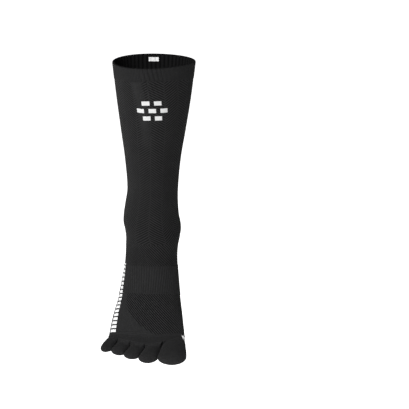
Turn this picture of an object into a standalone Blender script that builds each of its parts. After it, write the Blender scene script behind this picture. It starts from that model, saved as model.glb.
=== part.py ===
"""Knitted toe sock in the form that it takes on a pointed right foot.

Metres, +Z up. The toes point towards -Y and the big toe lies towards +X.
The origin is the centre of the leg opening, where the leg goes in.
Every piece is a hollow knitted wall: a cuff, a leg tube, a heel pocket, an
arch band, a forefoot and five toe pockets.
"""

import math
from collections import namedtuple

import bmesh
import bpy
from mathutils import Vector

# Leg sizes
CALF_WIDTH = 0.0992
CALF_DEPTH = 0.104
ANKLE_WIDTH = 0.0616
ANKLE_DEPTH = 0.079
LEG_HEIGHT = 0.153
ANKLE_FORWARD = 0.0065
ANKLE_SIDEWAYS = -0.0029

# Foot sizes. The joint is the point that the foot turns about.
FOOT_LENGTH = 0.241
BALL_WIDTH = 0.091
JOINT_HEIGHT = 0.072
JOINT_DROP = 0.038
JOINT_FORWARD = 0.008
POINT_ANGLE = math.radians(35)
TOE_LINE_SWEEP = 0.12
TOE_LINE_ROLL = 0.16
TOE_LINE_BOW = 0.0075

# Toe sizes
BIG_TOE_LENGTH = 0.0368
BIG_TOE_THICKNESS = 0.024
TOE_COLLAR = 0.001
TOE_LIFT = math.radians(12)
TOE_NECK = 0.94
TOE_GAP = 0.0004

# Knit sizes
CUFF_HEIGHT = 0.0205
CUFF_WALL = 0.0024
CUFF_EDGE_RADIUS = 0.0008
RIB_COUNT = 44
RIB_DEPTH = 0.0004
KNIT_WALL = 0.0014
BAND_WALL = 0.0018
BAND_PROUD = 0.0003
TOE_WALL = 0.0012
SEAM_GAP = 0.0003
EDGE_STRIP = 0.001

# How finely the walls are faceted
TUBE_SIDES = 40
TOE_SIDES = 16
OUTLINE_SAMPLES = 240

# Leg sections. drop is a share of the leg's height. The flares run from 0, the
# ankle's own size, to 1, the calf's own size. lean is a share of the ankle's
# shift forwards and sideways.
LegSection = namedtuple("LegSection", "name drop width_flare depth_flare lean")
LEG_SECTIONS = [
    LegSection("rim", 0.00, 1.00, 1.00, 0.00),
    LegSection("calf", 0.27, 0.745, 0.87, 0.19),
    LegSection("shin", 0.53, 0.44, 0.61, 0.50),
    LegSection("low_shin", 0.76, 0.16, 0.28, 0.81),
    LegSection("ankle", 1.00, 0.00, 0.00, 1.00),
]

# Foot sections, each from a point on the instep to a point on the heel or sole.
# Along is a share of the foot's length and up a share of the joint's height,
# both from the joint, with the sole level. The sides are shares of the ball's
# width. widest is where the section is widest, from 0, the sole, to 1, the top.
FootSection = namedtuple(
    "FootSection",
    "name top_along top_up sole_along sole_up little_side big_side widest squareness sweep",
)
FOOT_SECTIONS = [
    FootSection("tendon", 0.098, 0.40, -0.228, -0.12, -0.402, 0.305, 0.53, 2.1, 0.0),
    FootSection("outer_bone", 0.153, 0.15, -0.255, -0.45, -0.430, 0.322, 0.58, 2.2, 0.0),
    FootSection("inner_bone", 0.177, 0.08, -0.249, -0.66, -0.412, 0.343, 0.60, 2.2, 0.0),
    FootSection("heel", 0.201, 0.00, -0.219, -0.83, -0.398, 0.328, 0.60, 2.3, 0.0),
    FootSection("heel_pad", 0.223, -0.045, -0.150, -0.95, -0.400, 0.305, 0.58, 2.3, 0.0),
    FootSection("heel_front", 0.245, -0.09, -0.060, -0.98, -0.404, 0.293, 0.56, 2.3, 0.0),
    FootSection("arch_start", 0.278, -0.14, 0.060, -0.96, -0.417, 0.293, 0.50, 2.3, 0.1),
    FootSection("arch_end", 0.396, -0.39, 0.290, -1.00, -0.496, 0.320, 0.45, 2.3, 0.4),
    FootSection("ball", 0.495, -0.53, 0.448, -1.01, -0.576, 0.347, 0.45, 2.4, 0.8),
    FootSection("toe_seam", 0.596, -0.67, 0.596, -1.00, -0.633, 0.370, 0.50, 2.6, 1.0),
]

# The knitted zones along the tube, by the section where each one ends
Zone = namedtuple("Zone", "name end strips wall proud")
ZONES = [
    Zone("leg_tube", "heel", 18, KNIT_WALL, 0.0),
    Zone("heel_pocket", "arch_start", 7, KNIT_WALL, 0.0),
    Zone("arch_band", "arch_end", 4, BAND_WALL, BAND_PROUD),
    Zone("forefoot", "toe_seam", 7, KNIT_WALL, 0.0),
]

# The lines that part the toes. place is a share of the toe seam's width from
# the little toe's side, and splay the angle at which the line runs outwards.
LaneLine = namedtuple("LaneLine", "place splay_deg")
LANE_LINES = [
    LaneLine(0.000, -29),
    LaneLine(0.140, -35),
    LaneLine(0.307, -36),
    LaneLine(0.498, -30),
    LaneLine(0.705, -10),
    LaneLine(1.000, 4),
]

# Toes from the little one to the big one. Lengths and thicknesses are shares of
# the big toe's own.
Toe = namedtuple("Toe", "name length thickness")
TOES = [
    Toe("little_toe", 0.560, 0.64),
    Toe("fourth_toe", 0.595, 0.68),
    Toe("third_toe", 0.665, 0.72),
    Toe("second_toe", 0.795, 0.80),
    Toe("big_toe", 1.00, 1.00),
]

# Toe profile from the seam to the tip. run is a share of the toe's length, and
# round says how far the section has turned from the seam's cell to an oval.
ToeRing = namedtuple("ToeRing", "run width height round")
TOE_RINGS = [
    ToeRing(0.00, 1.00, 1.00, 0.0),
    ToeRing(0.04, 1.00, 1.00, 0.0),
    ToeRing(0.17, 0.98, 0.99, 0.4),
    ToeRing(0.32, TOE_NECK, 0.97, 1.0),
    ToeRing(0.48, 0.98, 1.00, 1.0),
    ToeRing(0.66, 1.00, 1.02, 1.0),
    ToeRing(0.81, 0.93, 0.94, 1.0),
    ToeRing(0.92, 0.70, 0.70, 1.0),
    ToeRing(0.98, 0.36, 0.36, 1.0),
]

# Plain finishes
PLAIN_KNIT = (0.018, 0.018, 0.018, 1.0)
RIBBED_KNIT = (0.022, 0.022, 0.022, 1.0)
KNIT_ROUGHNESS = 0.9

Row = namedtuple("Row", "name place front back little_x big_x widest squareness sweep")


def lerp(a, b, share):
    return a + (b - a) * share


def posed(along, up):
    """A point of the level foot, from the joint, as (forward, up) once the foot points down."""
    forward = along * math.cos(POINT_ANGLE) + up * math.sin(POINT_ANGLE)
    height = up * math.cos(POINT_ANGLE) - along * math.sin(POINT_ANGLE)
    return Vector((JOINT_FORWARD + forward, height - LEG_HEIGHT - JOINT_DROP))


def leg_row(section):
    width = lerp(ANKLE_WIDTH, CALF_WIDTH, section.width_flare)
    depth = lerp(ANKLE_DEPTH, CALF_DEPTH, section.depth_flare)
    forward = ANKLE_FORWARD * section.lean
    sideways = ANKLE_SIDEWAYS * section.lean
    height = -section.drop * LEG_HEIGHT
    return Row(
        section.name,
        0.0,
        Vector((forward + depth / 2, height)),
        Vector((forward - depth / 2, height)),
        sideways - width / 2,
        sideways + width / 2,
        0.5,
        2.0,
        0.0,
    )


def foot_row(section):
    return Row(
        section.name,
        0.0,
        posed(section.top_along * FOOT_LENGTH, section.top_up * JOINT_HEIGHT),
        posed(section.sole_along * FOOT_LENGTH, section.sole_up * JOINT_HEIGHT),
        section.little_side * BALL_WIDTH,
        section.big_side * BALL_WIDTH,
        section.widest,
        section.squareness,
        section.sweep,
    )


def tube_rows():
    """All sections, each with its place: how far along the tube it lies from the rim."""
    rows = [leg_row(s) for s in LEG_SECTIONS] + [foot_row(s) for s in FOOT_SECTIONS]
    place = 0.0
    placed = [rows[0]]
    for before, row in zip(rows, rows[1:]):
        front_step = (row.front - before.front).length
        back_step = (row.back - before.back).length
        place += (front_step + back_step) / 2
        placed.append(row._replace(place=place))
    return placed


ROWS = tube_rows()
PLACE = {row.name: row.place for row in ROWS}


def blended(values, index, share, places):
    """A smooth curve through the rows' values, read between row index and the next."""
    last = len(values) - 1
    span = places[index + 1] - places[index]

    def slope(i):
        a, b = max(i - 1, 0), min(i + 1, last)
        return (values[b] - values[a]) / (places[b] - places[a])

    t, u = share, 1 - share
    start = values[index] * ((1 + 2 * t) * u * u)
    end = values[index + 1] * (t * t * (3 - 2 * t))
    bend = slope(index) * (t * u * u) - slope(index + 1) * (t * t * u)
    return start + end + bend * span


def row_at(place):
    """The section at any place along the tube."""
    places = [row.place for row in ROWS]
    index = max(i for i in range(len(ROWS) - 1) if i == 0 or places[i] <= place)
    share = (place - places[index]) / (places[index + 1] - places[index])
    fields = {
        field: blended([getattr(row, field) for row in ROWS], index, share, places)
        for field in Row._fields[2:]
    }
    return Row(ROWS[index].name, place, **fields)


def power_of(value, squareness):
    return math.copysign(abs(value) ** (2 / squareness), value)


def evenly(outline, count):
    """count points at even steps along a closed outline, from its first point."""
    lengths = [0.0]
    closed = outline + outline[:1]
    for a, b in zip(closed, closed[1:]):
        lengths.append(lengths[-1] + (b - a).length)
    points = []
    at = 0
    for k in range(count):
        wanted = lengths[-1] * k / count
        while lengths[at + 1] < wanted:
            at += 1
        step = lengths[at + 1] - lengths[at]
        share = (wanted - lengths[at]) / step if step else 0.0
        points.append(closed[at].lerp(closed[at + 1], share))
    return points


def slanted(point, row):
    """Carries a point of a section along and up as the toe line runs, by the section's sweep."""
    half_width = (row.big_x - row.little_x) / 2
    offset = min(max(point.x - (row.big_x + row.little_x) / 2, -half_width), half_width)
    bow = TOE_LINE_BOW * (offset / half_width) ** 2
    along = (TOE_LINE_SWEEP * offset - bow) * row.sweep
    up = TOE_LINE_ROLL * offset * row.sweep
    shift = posed(along, up) - posed(0.0, 0.0)
    return point + Vector((0.0, -shift.x, shift.y))


def tube_ring(place, proud=0.0, sides=TUBE_SIDES, ribs=0):
    """The points round the tube at a place, from the back or sole, towards the big toe's side."""
    row = row_at(place)
    centre_x = (row.little_x + row.big_x) / 2
    half_width = (row.big_x - row.little_x) / 2 + proud
    across = row.front - row.back
    depth = across.length + 2 * proud
    toward_front = across.normalized()
    middle = row.back + toward_front * (row.widest * depth - proud)
    outline = []
    for k in range(OUTLINE_SAMPLES):
        angle = 2 * math.pi * k / OUTLINE_SAMPLES
        side = power_of(math.sin(angle), row.squareness) * half_width
        reach = -power_of(math.cos(angle), row.squareness) * depth
        reach *= (1 - row.widest) if reach > 0 else row.widest
        spot = middle + toward_front * reach
        outline.append(Vector((centre_x + side, -spot.x, spot.y)))
    ring = evenly([slanted(point, row) for point in outline], sides)
    return ribbed(ring, ribs) if ribs else ring


def ribbed(ring, ribs):
    """Sinks one point in each rib's share of the ring, which leaves ribs with grooves between."""
    centre = sum(ring, Vector()) / len(ring)
    points_per_rib = len(ring) // ribs
    made = []
    for k, point in enumerate(ring):
        sunk = RIB_DEPTH if k % points_per_rib == 0 else 0.0
        made.append(point - (point - centre).normalized() * sunk)
    return made


def knit_material(name, colour):
    material = bpy.data.materials.new(name)
    material.use_nodes = True
    shader = material.node_tree.nodes["Principled BSDF"]
    shader.inputs["Base Color"].default_value = colour
    shader.inputs["Roughness"].default_value = KNIT_ROUGHNESS
    shader.inputs["Metallic"].default_value = 0.0
    return material


def lofted(name, rings, tip=None):
    """An open surface through rings of as many points each, closed at the last one by a tip."""
    shape = bmesh.new()
    loops = [[shape.verts.new(p) for p in ring] for ring in rings]
    for upper, lower in zip(loops, loops[1:]):
        for k in range(len(upper)):
            after = (k + 1) % len(upper)
            shape.faces.new((upper[k], upper[after], lower[after], lower[k]))
    if tip is not None:
        point = shape.verts.new(tip)
        for k, vertex in enumerate(loops[-1]):
            shape.faces.new((vertex, loops[-1][(k + 1) % len(loops[-1])], point))
    mesh = bpy.data.meshes.new(name)
    shape.to_mesh(mesh)
    shape.free()
    return bpy.data.objects.new(name, mesh)


def walled(piece, wall):
    """Gives the open surface a knitted wall on its inner side."""
    solidify = piece.modifiers.new("wall", "SOLIDIFY")
    solidify.thickness = wall
    solidify.offset = -1.0
    solidify.use_even_offset = True
    piece.data.shade_smooth()


def finished(piece, collection, material):
    piece.data.materials.append(material)
    collection.objects.link(piece)
    return piece


def make_cuff(collection, material):
    """The folded band round the opening, with upright ribs and a rounded upper edge."""
    sides = 2 * RIB_COUNT
    places = [0.0, CUFF_HEIGHT / 2, CUFF_HEIGHT - SEAM_GAP]
    rings = [tube_ring(place, sides=sides, ribs=RIB_COUNT) for place in places]
    cuff = lofted("cuff", rings)
    walled(cuff, CUFF_WALL)
    edge = cuff.modifiers.new("edge", "BEVEL")
    edge.width = CUFF_EDGE_RADIUS
    edge.segments = 2
    edge.limit_method = "ANGLE"
    edge.angle_limit = math.radians(60)
    return finished(cuff, collection, material)


def zone_places(start, end, strips):
    """Where a zone's rings lie. A short strip at each end keeps its edge square to the wall."""
    last = end - SEAM_GAP
    inner = strips - 2
    between = [
        lerp(start + EDGE_STRIP, last - EDGE_STRIP, k / inner) for k in range(inner + 1)
    ]
    return [start] + between + [last]


def make_tube_zones(collection, materials):
    """The tube below the cuff, a zone at a time, with a small gap after each."""
    start = CUFF_HEIGHT
    for zone in ZONES:
        end = PLACE[zone.end]
        rings = [tube_ring(place, zone.proud) for place in zone_places(start, end, zone.strips)]
        piece = lofted(zone.name, rings)
        walled(piece, zone.wall)
        finished(piece, collection, materials[zone.name])
        start = end


def seam_height(x):
    """Half the toe seam's thickness at a place across it."""
    row = ROWS[-1]
    centre_x = (row.little_x + row.big_x) / 2
    half_width = (row.big_x - row.little_x) / 2
    share = min(abs(x - centre_x) / half_width, 1.0)
    return (row.front - row.back).length / 2 * (1 - share**row.squareness) ** (1 / row.squareness)


def seam_place(share):
    row = ROWS[-1]
    return lerp(row.little_x, row.big_x, share)


def cell_outline(left_x, right_x, centre_x):
    """The toe seam's outline between two lane lines, from the sole's middle towards the big toe."""
    steps = OUTLINE_SAMPLES // 4
    across = [lerp(left_x, right_x, k / steps) for k in range(steps + 1)]
    sole = [Vector((x - centre_x, -seam_height(x))) for x in across]
    top = [Vector((x - centre_x, seam_height(x))) for x in reversed(across)]
    turn = steps // 2
    outline = sole[turn:]
    outline += [sole[-1].lerp(top[0], k / steps) for k in range(1, steps)]
    outline += top
    outline += [top[-1].lerp(sole[0], k / steps) for k in range(1, steps)]
    return outline + sole[:turn]


def oval_outline(half_width, half_height):
    steps = OUTLINE_SAMPLES
    turns = [2 * math.pi * k / steps for k in range(steps)]
    return [Vector((math.sin(a) * half_width, -math.cos(a) * half_height)) for a in turns]


def toe_spot(x, along, up):
    """A point of the level foot beyond the toe seam, in the sock's own frame."""
    seam = FOOT_SECTIONS[-1]
    base_along = (seam.top_along + seam.sole_along) / 2 * FOOT_LENGTH
    base_up = (seam.top_up + seam.sole_up) / 2 * JOINT_HEIGHT
    spot = posed(base_along + along, base_up + up)
    return slanted(Vector((x, -spot.x, spot.y)), ROWS[-1])


def toe_rings(toe, left, right):
    """The rings of a toe pocket between its two lane lines, and the point of its tip."""
    length = toe.length * BIG_TOE_LENGTH
    left_x = seam_place(left.place) + (TOE_GAP / 2 if left.place > 0 else 0.0)
    right_x = seam_place(right.place) - (TOE_GAP / 2 if right.place < 1 else 0.0)
    centre_x = (left_x + right_x) / 2
    left_slope = math.tan(math.radians(left.splay_deg))
    right_slope = math.tan(math.radians(right.splay_deg))
    splay = math.atan((left_slope + right_slope) / 2)
    spread = right_slope - left_slope
    cell = evenly(cell_outline(left_x, right_x, centre_x), TOE_SIDES)
    thickness = toe.thickness * BIG_TOE_THICKNESS

    def centre_at(run):
        sideways = centre_x + math.tan(splay) * max(run - TOE_COLLAR, 0.0)
        return sideways, run, math.tan(TOE_LIFT) * run * run / length

    rings = []
    for ring in TOE_RINGS:
        run = SEAM_GAP + ring.run * (length - SEAM_GAP)
        turn = splay * ring.round
        width = (right_x - left_x + spread * max(run - TOE_COLLAR, 0.0)) * ring.width
        width *= math.cos(splay) / math.cos(splay - turn)
        oval = evenly(oval_outline(width / 2, thickness * ring.height / 2), TOE_SIDES)
        x, along, up = centre_at(run)
        points = []
        for flat, full in zip(cell, oval):
            spot = Vector((flat.x * width / (right_x - left_x), flat.y)).lerp(full, ring.round)
            turned = Vector((math.cos(turn), -math.sin(turn))) * spot.x
            points.append(toe_spot(x + turned.x, along + turned.y, up + spot.y))
        rings.append(points)
    return rings, toe_spot(*centre_at(length))


def make_toes(collection, material):
    for toe, left, right in zip(TOES, LANE_LINES, LANE_LINES[1:]):
        rings, tip = toe_rings(toe, left, right)
        piece = lofted(toe.name, rings, tip)
        walled(piece, TOE_WALL)
        finished(piece, collection, material)


def clear_scene():
    for item in list(bpy.data.objects):
        bpy.data.objects.remove(item)


def main():
    clear_scene()
    collection = bpy.data.collections.new("toe_sock")
    bpy.context.scene.collection.children.link(collection)
    plain = knit_material("plain_knit", PLAIN_KNIT)
    ribbed = knit_material("ribbed_knit", RIBBED_KNIT)
    make_cuff(collection, ribbed)
    materials = {zone.name: plain for zone in ZONES}
    materials["arch_band"] = ribbed
    make_tube_zones(collection, materials)
    make_toes(collection, plain)


main()
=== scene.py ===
# %% [markdown]
# # A knitted toe sock
# This lesson dresses a plain CAD toe sock. The CAD walls are smooth, and a
# real sock is knitted: it has ribs, chevrons, mesh panels and rows of small
# stitches. We could sculpt those by hand, or scan a real sock. Here every
# piece is a fine grid that numpy bends and then lifts by a formula, because
# knitting itself is a grid: wales run along the leg and courses run round it.

# %% Load the fixed frame
import math
from collections import namedtuple

import bmesh
import bpy
import numpy as np
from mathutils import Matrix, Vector


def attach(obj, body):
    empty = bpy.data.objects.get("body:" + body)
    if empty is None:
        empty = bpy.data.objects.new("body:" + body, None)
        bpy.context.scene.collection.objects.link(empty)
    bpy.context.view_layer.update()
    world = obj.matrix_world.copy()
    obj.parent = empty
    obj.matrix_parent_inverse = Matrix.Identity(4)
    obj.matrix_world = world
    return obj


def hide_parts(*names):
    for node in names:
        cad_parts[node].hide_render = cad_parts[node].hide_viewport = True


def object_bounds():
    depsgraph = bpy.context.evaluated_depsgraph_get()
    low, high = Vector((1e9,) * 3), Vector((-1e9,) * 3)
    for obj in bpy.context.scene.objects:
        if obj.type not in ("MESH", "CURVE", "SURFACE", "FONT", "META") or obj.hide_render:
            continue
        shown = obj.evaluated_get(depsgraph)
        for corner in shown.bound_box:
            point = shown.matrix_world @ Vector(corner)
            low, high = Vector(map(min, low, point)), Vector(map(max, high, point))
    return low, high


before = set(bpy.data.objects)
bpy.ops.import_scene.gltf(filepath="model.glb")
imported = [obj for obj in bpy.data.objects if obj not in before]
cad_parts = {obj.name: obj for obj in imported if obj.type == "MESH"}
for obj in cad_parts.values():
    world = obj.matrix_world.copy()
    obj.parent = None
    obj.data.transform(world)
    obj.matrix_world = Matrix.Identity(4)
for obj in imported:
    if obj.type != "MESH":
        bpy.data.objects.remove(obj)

CAD_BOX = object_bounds()
print("CAD nodes:", ", ".join(sorted(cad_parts)))

# %% [markdown]
# ## The camera
# The picture of the sock was taken from in front and a little above. A long
# lens from far away keeps the leg's sides nearly parallel. The camera could
# follow a Track To constraint, but plain angles are easier to keep exact.

# %% Set the camera
CAMERA_PLACE = (0.0, -1.77237, 0.31418)
CAMERA_TILT = math.radians(74.5)
CAMERA_TURN = math.radians(-1.948)
CAMERA_LENS = 132.1

camera_data = bpy.data.cameras.new("camera")
camera_data.lens = CAMERA_LENS
camera = bpy.data.objects.new("camera", camera_data)
camera.location = CAMERA_PLACE
camera.rotation_euler = (CAMERA_TILT, 0.0, CAMERA_TURN)
bpy.context.scene.collection.objects.link(camera)
bpy.context.scene.camera = camera
print("camera distance:", round(Vector(CAMERA_PLACE).length, 3), "m")

# %% [markdown]
# ## The sizes of the sock
# The sock keeps the form of a pointed right foot. Its leg and foot are given
# as sections, cut across the tube from the front or instep to the back or
# sole. These are the CAD source's own numbers, in metres and shares, so each
# knitted piece lies exactly where its CAD piece is.

# %% Leg and foot sizes
CALF_WIDTH, CALF_DEPTH = 0.0992, 0.104
ANKLE_WIDTH, ANKLE_DEPTH = 0.0616, 0.079
LEG_HEIGHT = 0.153
ANKLE_FORWARD, ANKLE_SIDEWAYS = 0.0065, -0.0029
FOOT_LENGTH, BALL_WIDTH, JOINT_HEIGHT = 0.241, 0.091, 0.072
JOINT_DROP, JOINT_FORWARD = 0.038, 0.008
POINT_ANGLE = math.radians(35)
TOE_LINE_SWEEP, TOE_LINE_ROLL, TOE_LINE_BOW = 0.12, 0.16, 0.0075
CUFF_HEIGHT = 0.0205

# drop, width flare, depth flare, lean
LEG_SECTIONS = [
    (0.00, 1.000, 1.00, 0.00),
    (0.27, 0.745, 0.87, 0.19),
    (0.53, 0.440, 0.61, 0.50),
    (0.76, 0.160, 0.28, 0.81),
    (1.00, 0.000, 0.00, 1.00),
]

# name, top along and up, sole along and up, little and big side, widest,
# squareness, sweep
FOOT_SECTIONS = [
    ("tendon", 0.098, 0.40, -0.228, -0.12, -0.402, 0.305, 0.53, 2.1, 0.0),
    ("outer_bone", 0.153, 0.15, -0.255, -0.45, -0.430, 0.322, 0.58, 2.2, 0.0),
    ("inner_bone", 0.177, 0.08, -0.249, -0.66, -0.412, 0.343, 0.60, 2.2, 0.0),
    ("heel", 0.201, 0.00, -0.219, -0.83, -0.398, 0.328, 0.60, 2.3, 0.0),
    ("heel_pad", 0.223, -0.045, -0.150, -0.95, -0.400, 0.305, 0.58, 2.3, 0.0),
    ("heel_front", 0.245, -0.09, -0.060, -0.98, -0.404, 0.293, 0.56, 2.3, 0.0),
    ("arch_start", 0.278, -0.14, 0.060, -0.96, -0.417, 0.293, 0.50, 2.3, 0.1),
    ("arch_end", 0.396, -0.39, 0.290, -1.00, -0.496, 0.320, 0.45, 2.3, 0.4),
    ("ball", 0.495, -0.53, 0.448, -1.01, -0.576, 0.347, 0.45, 2.4, 0.8),
    ("toe_seam", 0.596, -0.67, 0.596, -1.00, -0.633, 0.370, 0.50, 2.6, 1.0),
]
SEAM_ALONG, SEAM_TOP, SEAM_SOLE = FOOT_SECTIONS[-1][1], FOOT_SECTIONS[-1][2], FOOT_SECTIONS[-1][4]
print(len(LEG_SECTIONS) + len(FOOT_SECTIONS), "sections")

# %% [markdown]
# ## From sections to one smooth tube
# A real sock is knitted as one tube on a round machine. We could loft the
# sections with a Bezier surface. Here a Hermite curve runs through each
# value of the section table, because numpy then reads hundreds of rings at
# once, and the same two coordinates, turn and place, reach every stitch.

# %% Line up the sections
LEG_WIDEST, LEG_SQUARENESS = 0.5, 2.0
FIELDS = "front_y front_z back_y back_z little_x big_x widest squareness sweep".split()


def posed(along, up):
    """A point of the level foot as (forward, height) once the foot points down."""
    forward = along * math.cos(POINT_ANGLE) + up * math.sin(POINT_ANGLE)
    height = up * math.cos(POINT_ANGLE) - along * math.sin(POINT_ANGLE)
    return JOINT_FORWARD + forward, height - LEG_HEIGHT - JOINT_DROP


def leg_row(drop, width_flare, depth_flare, lean):
    width = ANKLE_WIDTH + (CALF_WIDTH - ANKLE_WIDTH) * width_flare
    depth = ANKLE_DEPTH + (CALF_DEPTH - ANKLE_DEPTH) * depth_flare
    forward, sideways = ANKLE_FORWARD * lean, ANKLE_SIDEWAYS * lean
    z = -drop * LEG_HEIGHT
    front, back = forward + depth / 2, forward - depth / 2
    sides = [sideways - width / 2, sideways + width / 2]
    return [front, z, back, z, *sides, LEG_WIDEST, LEG_SQUARENESS, 0.0]


def foot_row(name, top_along, top_up, sole_along, sole_up, little, big, *form):
    front = posed(top_along * FOOT_LENGTH, top_up * JOINT_HEIGHT)
    back = posed(sole_along * FOOT_LENGTH, sole_up * JOINT_HEIGHT)
    return [*front, *back, little * BALL_WIDTH, big * BALL_WIDTH, *form]


ROWS = np.array([leg_row(*s) for s in LEG_SECTIONS] + [foot_row(*s) for s in FOOT_SECTIONS])
STEPS = np.diff(ROWS[:, :4], axis=0)
STEP_LENGTHS = (np.hypot(STEPS[:, 0], STEPS[:, 1]) + np.hypot(STEPS[:, 2], STEPS[:, 3])) / 2
PLACES = np.concatenate([[0.0], np.cumsum(STEP_LENGTHS)])
PLACE = {s[0]: PLACES[len(LEG_SECTIONS) + k] for k, s in enumerate(FOOT_SECTIONS)}
print("tube length to the toe seam:", round(PLACES[-1] * 1000, 1), "mm")

# %% Read the sections at any place
def section_slopes():
    last = len(ROWS) - 1
    before = [max(i - 1, 0) for i in range(last + 1)]
    after = [min(i + 1, last) for i in range(last + 1)]
    return (ROWS[after] - ROWS[before]) / (PLACES[after] - PLACES[before])[:, None]


SLOPES = section_slopes()


def sections_at(places):
    """The section values at each place, as a dictionary of columns."""
    index = np.clip(np.searchsorted(PLACES, places, "right") - 1, 0, len(ROWS) - 2)
    span = PLACES[index + 1] - PLACES[index]
    t = ((places - PLACES[index]) / span)[:, None]
    u = 1 - t
    ends = ROWS[index] * ((1 + 2 * t) * u * u) + ROWS[index + 1] * (t * t * (3 - 2 * t))
    bend = SLOPES[index] * (t * u * u) - SLOPES[index + 1] * (t * t * u)
    values = ends + bend * span[:, None]
    return {field: values[:, [k]] for k, field in enumerate(FIELDS)}


middle = sections_at(np.array([LEG_HEIGHT / 2]))
middle_width = (middle["big_x"] - middle["little_x"]).item()
print("width half way down the leg:", round(middle_width * 1000, 1), "mm")

# %% [markdown]
# ## Rings round the tube
# Each ring starts at the back or sole and runs towards the big toe's side.
# Its points lie at even steps of length, as stitches do on a real sock. The
# rim is a little egg-shaped, because the stretched cuff stands fuller on the
# outer side of the leg. The toe line slants, so the last sections slant too.
# A bevelled curve could follow the tube too, but it keeps one outline over
# its whole length, and the outline of a leg and foot changes all the way.

# %% Make the rings
OUTLINE_SAMPLES = 720
FINE_STEP = 0.0004
RIM_FULLNESS_FRONT, RIM_FULLNESS_BACK = 0.20, 0.07
RIM_FADE = 0.07


def smooth(x, low, high):
    """0 below low, 1 above high and an S-curve between."""
    t = np.clip((x - low) / (high - low), 0.0, 1.0)
    return t * t * (3 - 2 * t)


def slant_shift(x, section):
    """How far the slanting toe line carries a point at x, forwards and up."""
    half = (section["big_x"] - section["little_x"]) / 2
    offset = np.clip(x - (section["big_x"] + section["little_x"]) / 2, -half, half)
    bow = TOE_LINE_BOW * (offset / half) ** 2
    along = (TOE_LINE_SWEEP * offset - bow) * section["sweep"]
    forward, height = posed(along, TOE_LINE_ROLL * offset * section["sweep"])
    zero_forward, zero_height = posed(0.0, 0.0)
    return forward - zero_forward, height - zero_height


def powered(value, squareness):
    return np.sign(value) * np.abs(value) ** (2 / squareness)


def outlines(places):
    """Closed outlines at the places, each with OUTLINE_SAMPLES + 1 points."""
    s = sections_at(places)
    angle = np.linspace(0, 2 * np.pi, OUTLINE_SAMPLES + 1)[None, :]
    half = (s["big_x"] - s["little_x"]) / 2
    side = powered(np.sin(angle), s["squareness"])
    across_y, across_z = s["front_y"] - s["back_y"], s["front_z"] - s["back_z"]
    reach = -powered(np.cos(angle), s["squareness"])
    fade = 1 - smooth(places[:, None], 0.0, RIM_FADE)
    fullness = np.where(reach > 0, RIM_FULLNESS_FRONT, RIM_FULLNESS_BACK) * fade
    reach = reach * (1 - fullness * side)
    share = s["widest"] + reach * np.where(reach > 0, 1 - s["widest"], s["widest"])
    x = (s["little_x"] + s["big_x"]) / 2 + side * half
    forward, height = slant_shift(x, s)
    y = -(s["back_y"] + across_y * share + forward)
    z = s["back_z"] + across_z * share + height
    return np.stack([x, y, z], axis=-1)


def read_evenly(outline, turns):
    """Points at the given shares of a closed outline's length."""
    lengths = np.linalg.norm(np.diff(outline, axis=0), axis=1)
    run = np.concatenate([[0.0], np.cumsum(lengths)])
    return np.stack([np.interp(turns * run[-1], run, outline[:, k]) for k in range(3)], axis=-1)


def rings_at(places, turns):
    return np.stack([read_evenly(outline, turns) for outline in outlines(places)])


def grid_at(places, turns):
    """Points at places[row, column], where each column may have places of its own."""
    low, high = places.min(), places.max()
    count = int((high - low) / FINE_STEP) + 2
    rings = rings_at(np.linspace(low, high, count), turns)
    at = (places - low) / (high - low) * (count - 1)
    above = np.minimum(at.astype(int), count - 2)
    share = (at - above)[..., None]
    column = np.arange(len(turns))
    return rings[above, column] * (1 - share) + rings[above + 1, column] * share


ring = rings_at(np.array([0.0]), np.linspace(0, 1, 5))[0]
print("rim quarter points, mm:", (ring * 1000).round(1).tolist())

# %% [markdown]
# ## How far the yarn has run
# A place is the middle way down the tube, but the way down the shin and the
# way round the heel are not as long. Stitches have one size everywhere, so
# the rows are counted along each column's own line. A UV unwrap would spread
# them evenly too, but here the count has to match the formulas.

# %% Measure each column
WALES = 168
COURSE = 0.001
RUN_PLACES = np.linspace(0.0, PLACES[-1], 500)
run_rings = rings_at(RUN_PLACES, np.arange(WALES + 1) / WALES)
run_steps = np.linalg.norm(np.diff(run_rings, axis=0), axis=2)
RUNS = np.concatenate([np.zeros((1, WALES + 1)), np.cumsum(run_steps, axis=0)])


def run_at(wale, place):
    """The length of a column of stitches between the rim and a place, in metres."""
    wale = np.asarray(wale, float) % WALES
    wale, place = np.broadcast_arrays(wale, np.clip(place, 0.0, PLACES[-1]))
    row = place / PLACES[-1] * (len(RUN_PLACES) - 1)
    above = np.minimum(row.astype(int), len(RUN_PLACES) - 2)
    before = wale.astype(int)
    down, across = row - above, wale - before
    upper = RUNS[above, before] * (1 - across) + RUNS[above, before + 1] * across
    lower = RUNS[above + 1, before] * (1 - across) + RUNS[above + 1, before + 1] * across
    return upper * (1 - down) + lower * down


runs = run_at([WALES / 2, 0], PLACES[-1]) * 1000
print("run to the toe seam, front and back:", runs.round(1).tolist(), "mm")

# %% [markdown]
# ## Lifting a grid along its normals
# Relief such as a rib could come from a Displace modifier with a texture.
# Moving the points in numpy keeps the exact height at each stitch, and the
# finished mesh carries the form itself, so it shows in any program.

# %% Find the normals of a grid
def normals_of(rings):
    """Outward normals of rings of points, which close round each ring."""
    round_step = np.roll(rings, -1, axis=1) - np.roll(rings, 1, axis=1)
    down_step = np.gradient(rings, axis=0)
    normal = np.cross(round_step, down_step)
    return normal / np.linalg.norm(normal, axis=-1, keepdims=True)


upper_leg = rings_at(np.linspace(0, LEG_HEIGHT / 2, 3), np.arange(8) / 8)
print("normals point outwards:", bool(normals_of(upper_leg)[1, 0, 1] > 0))

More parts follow.
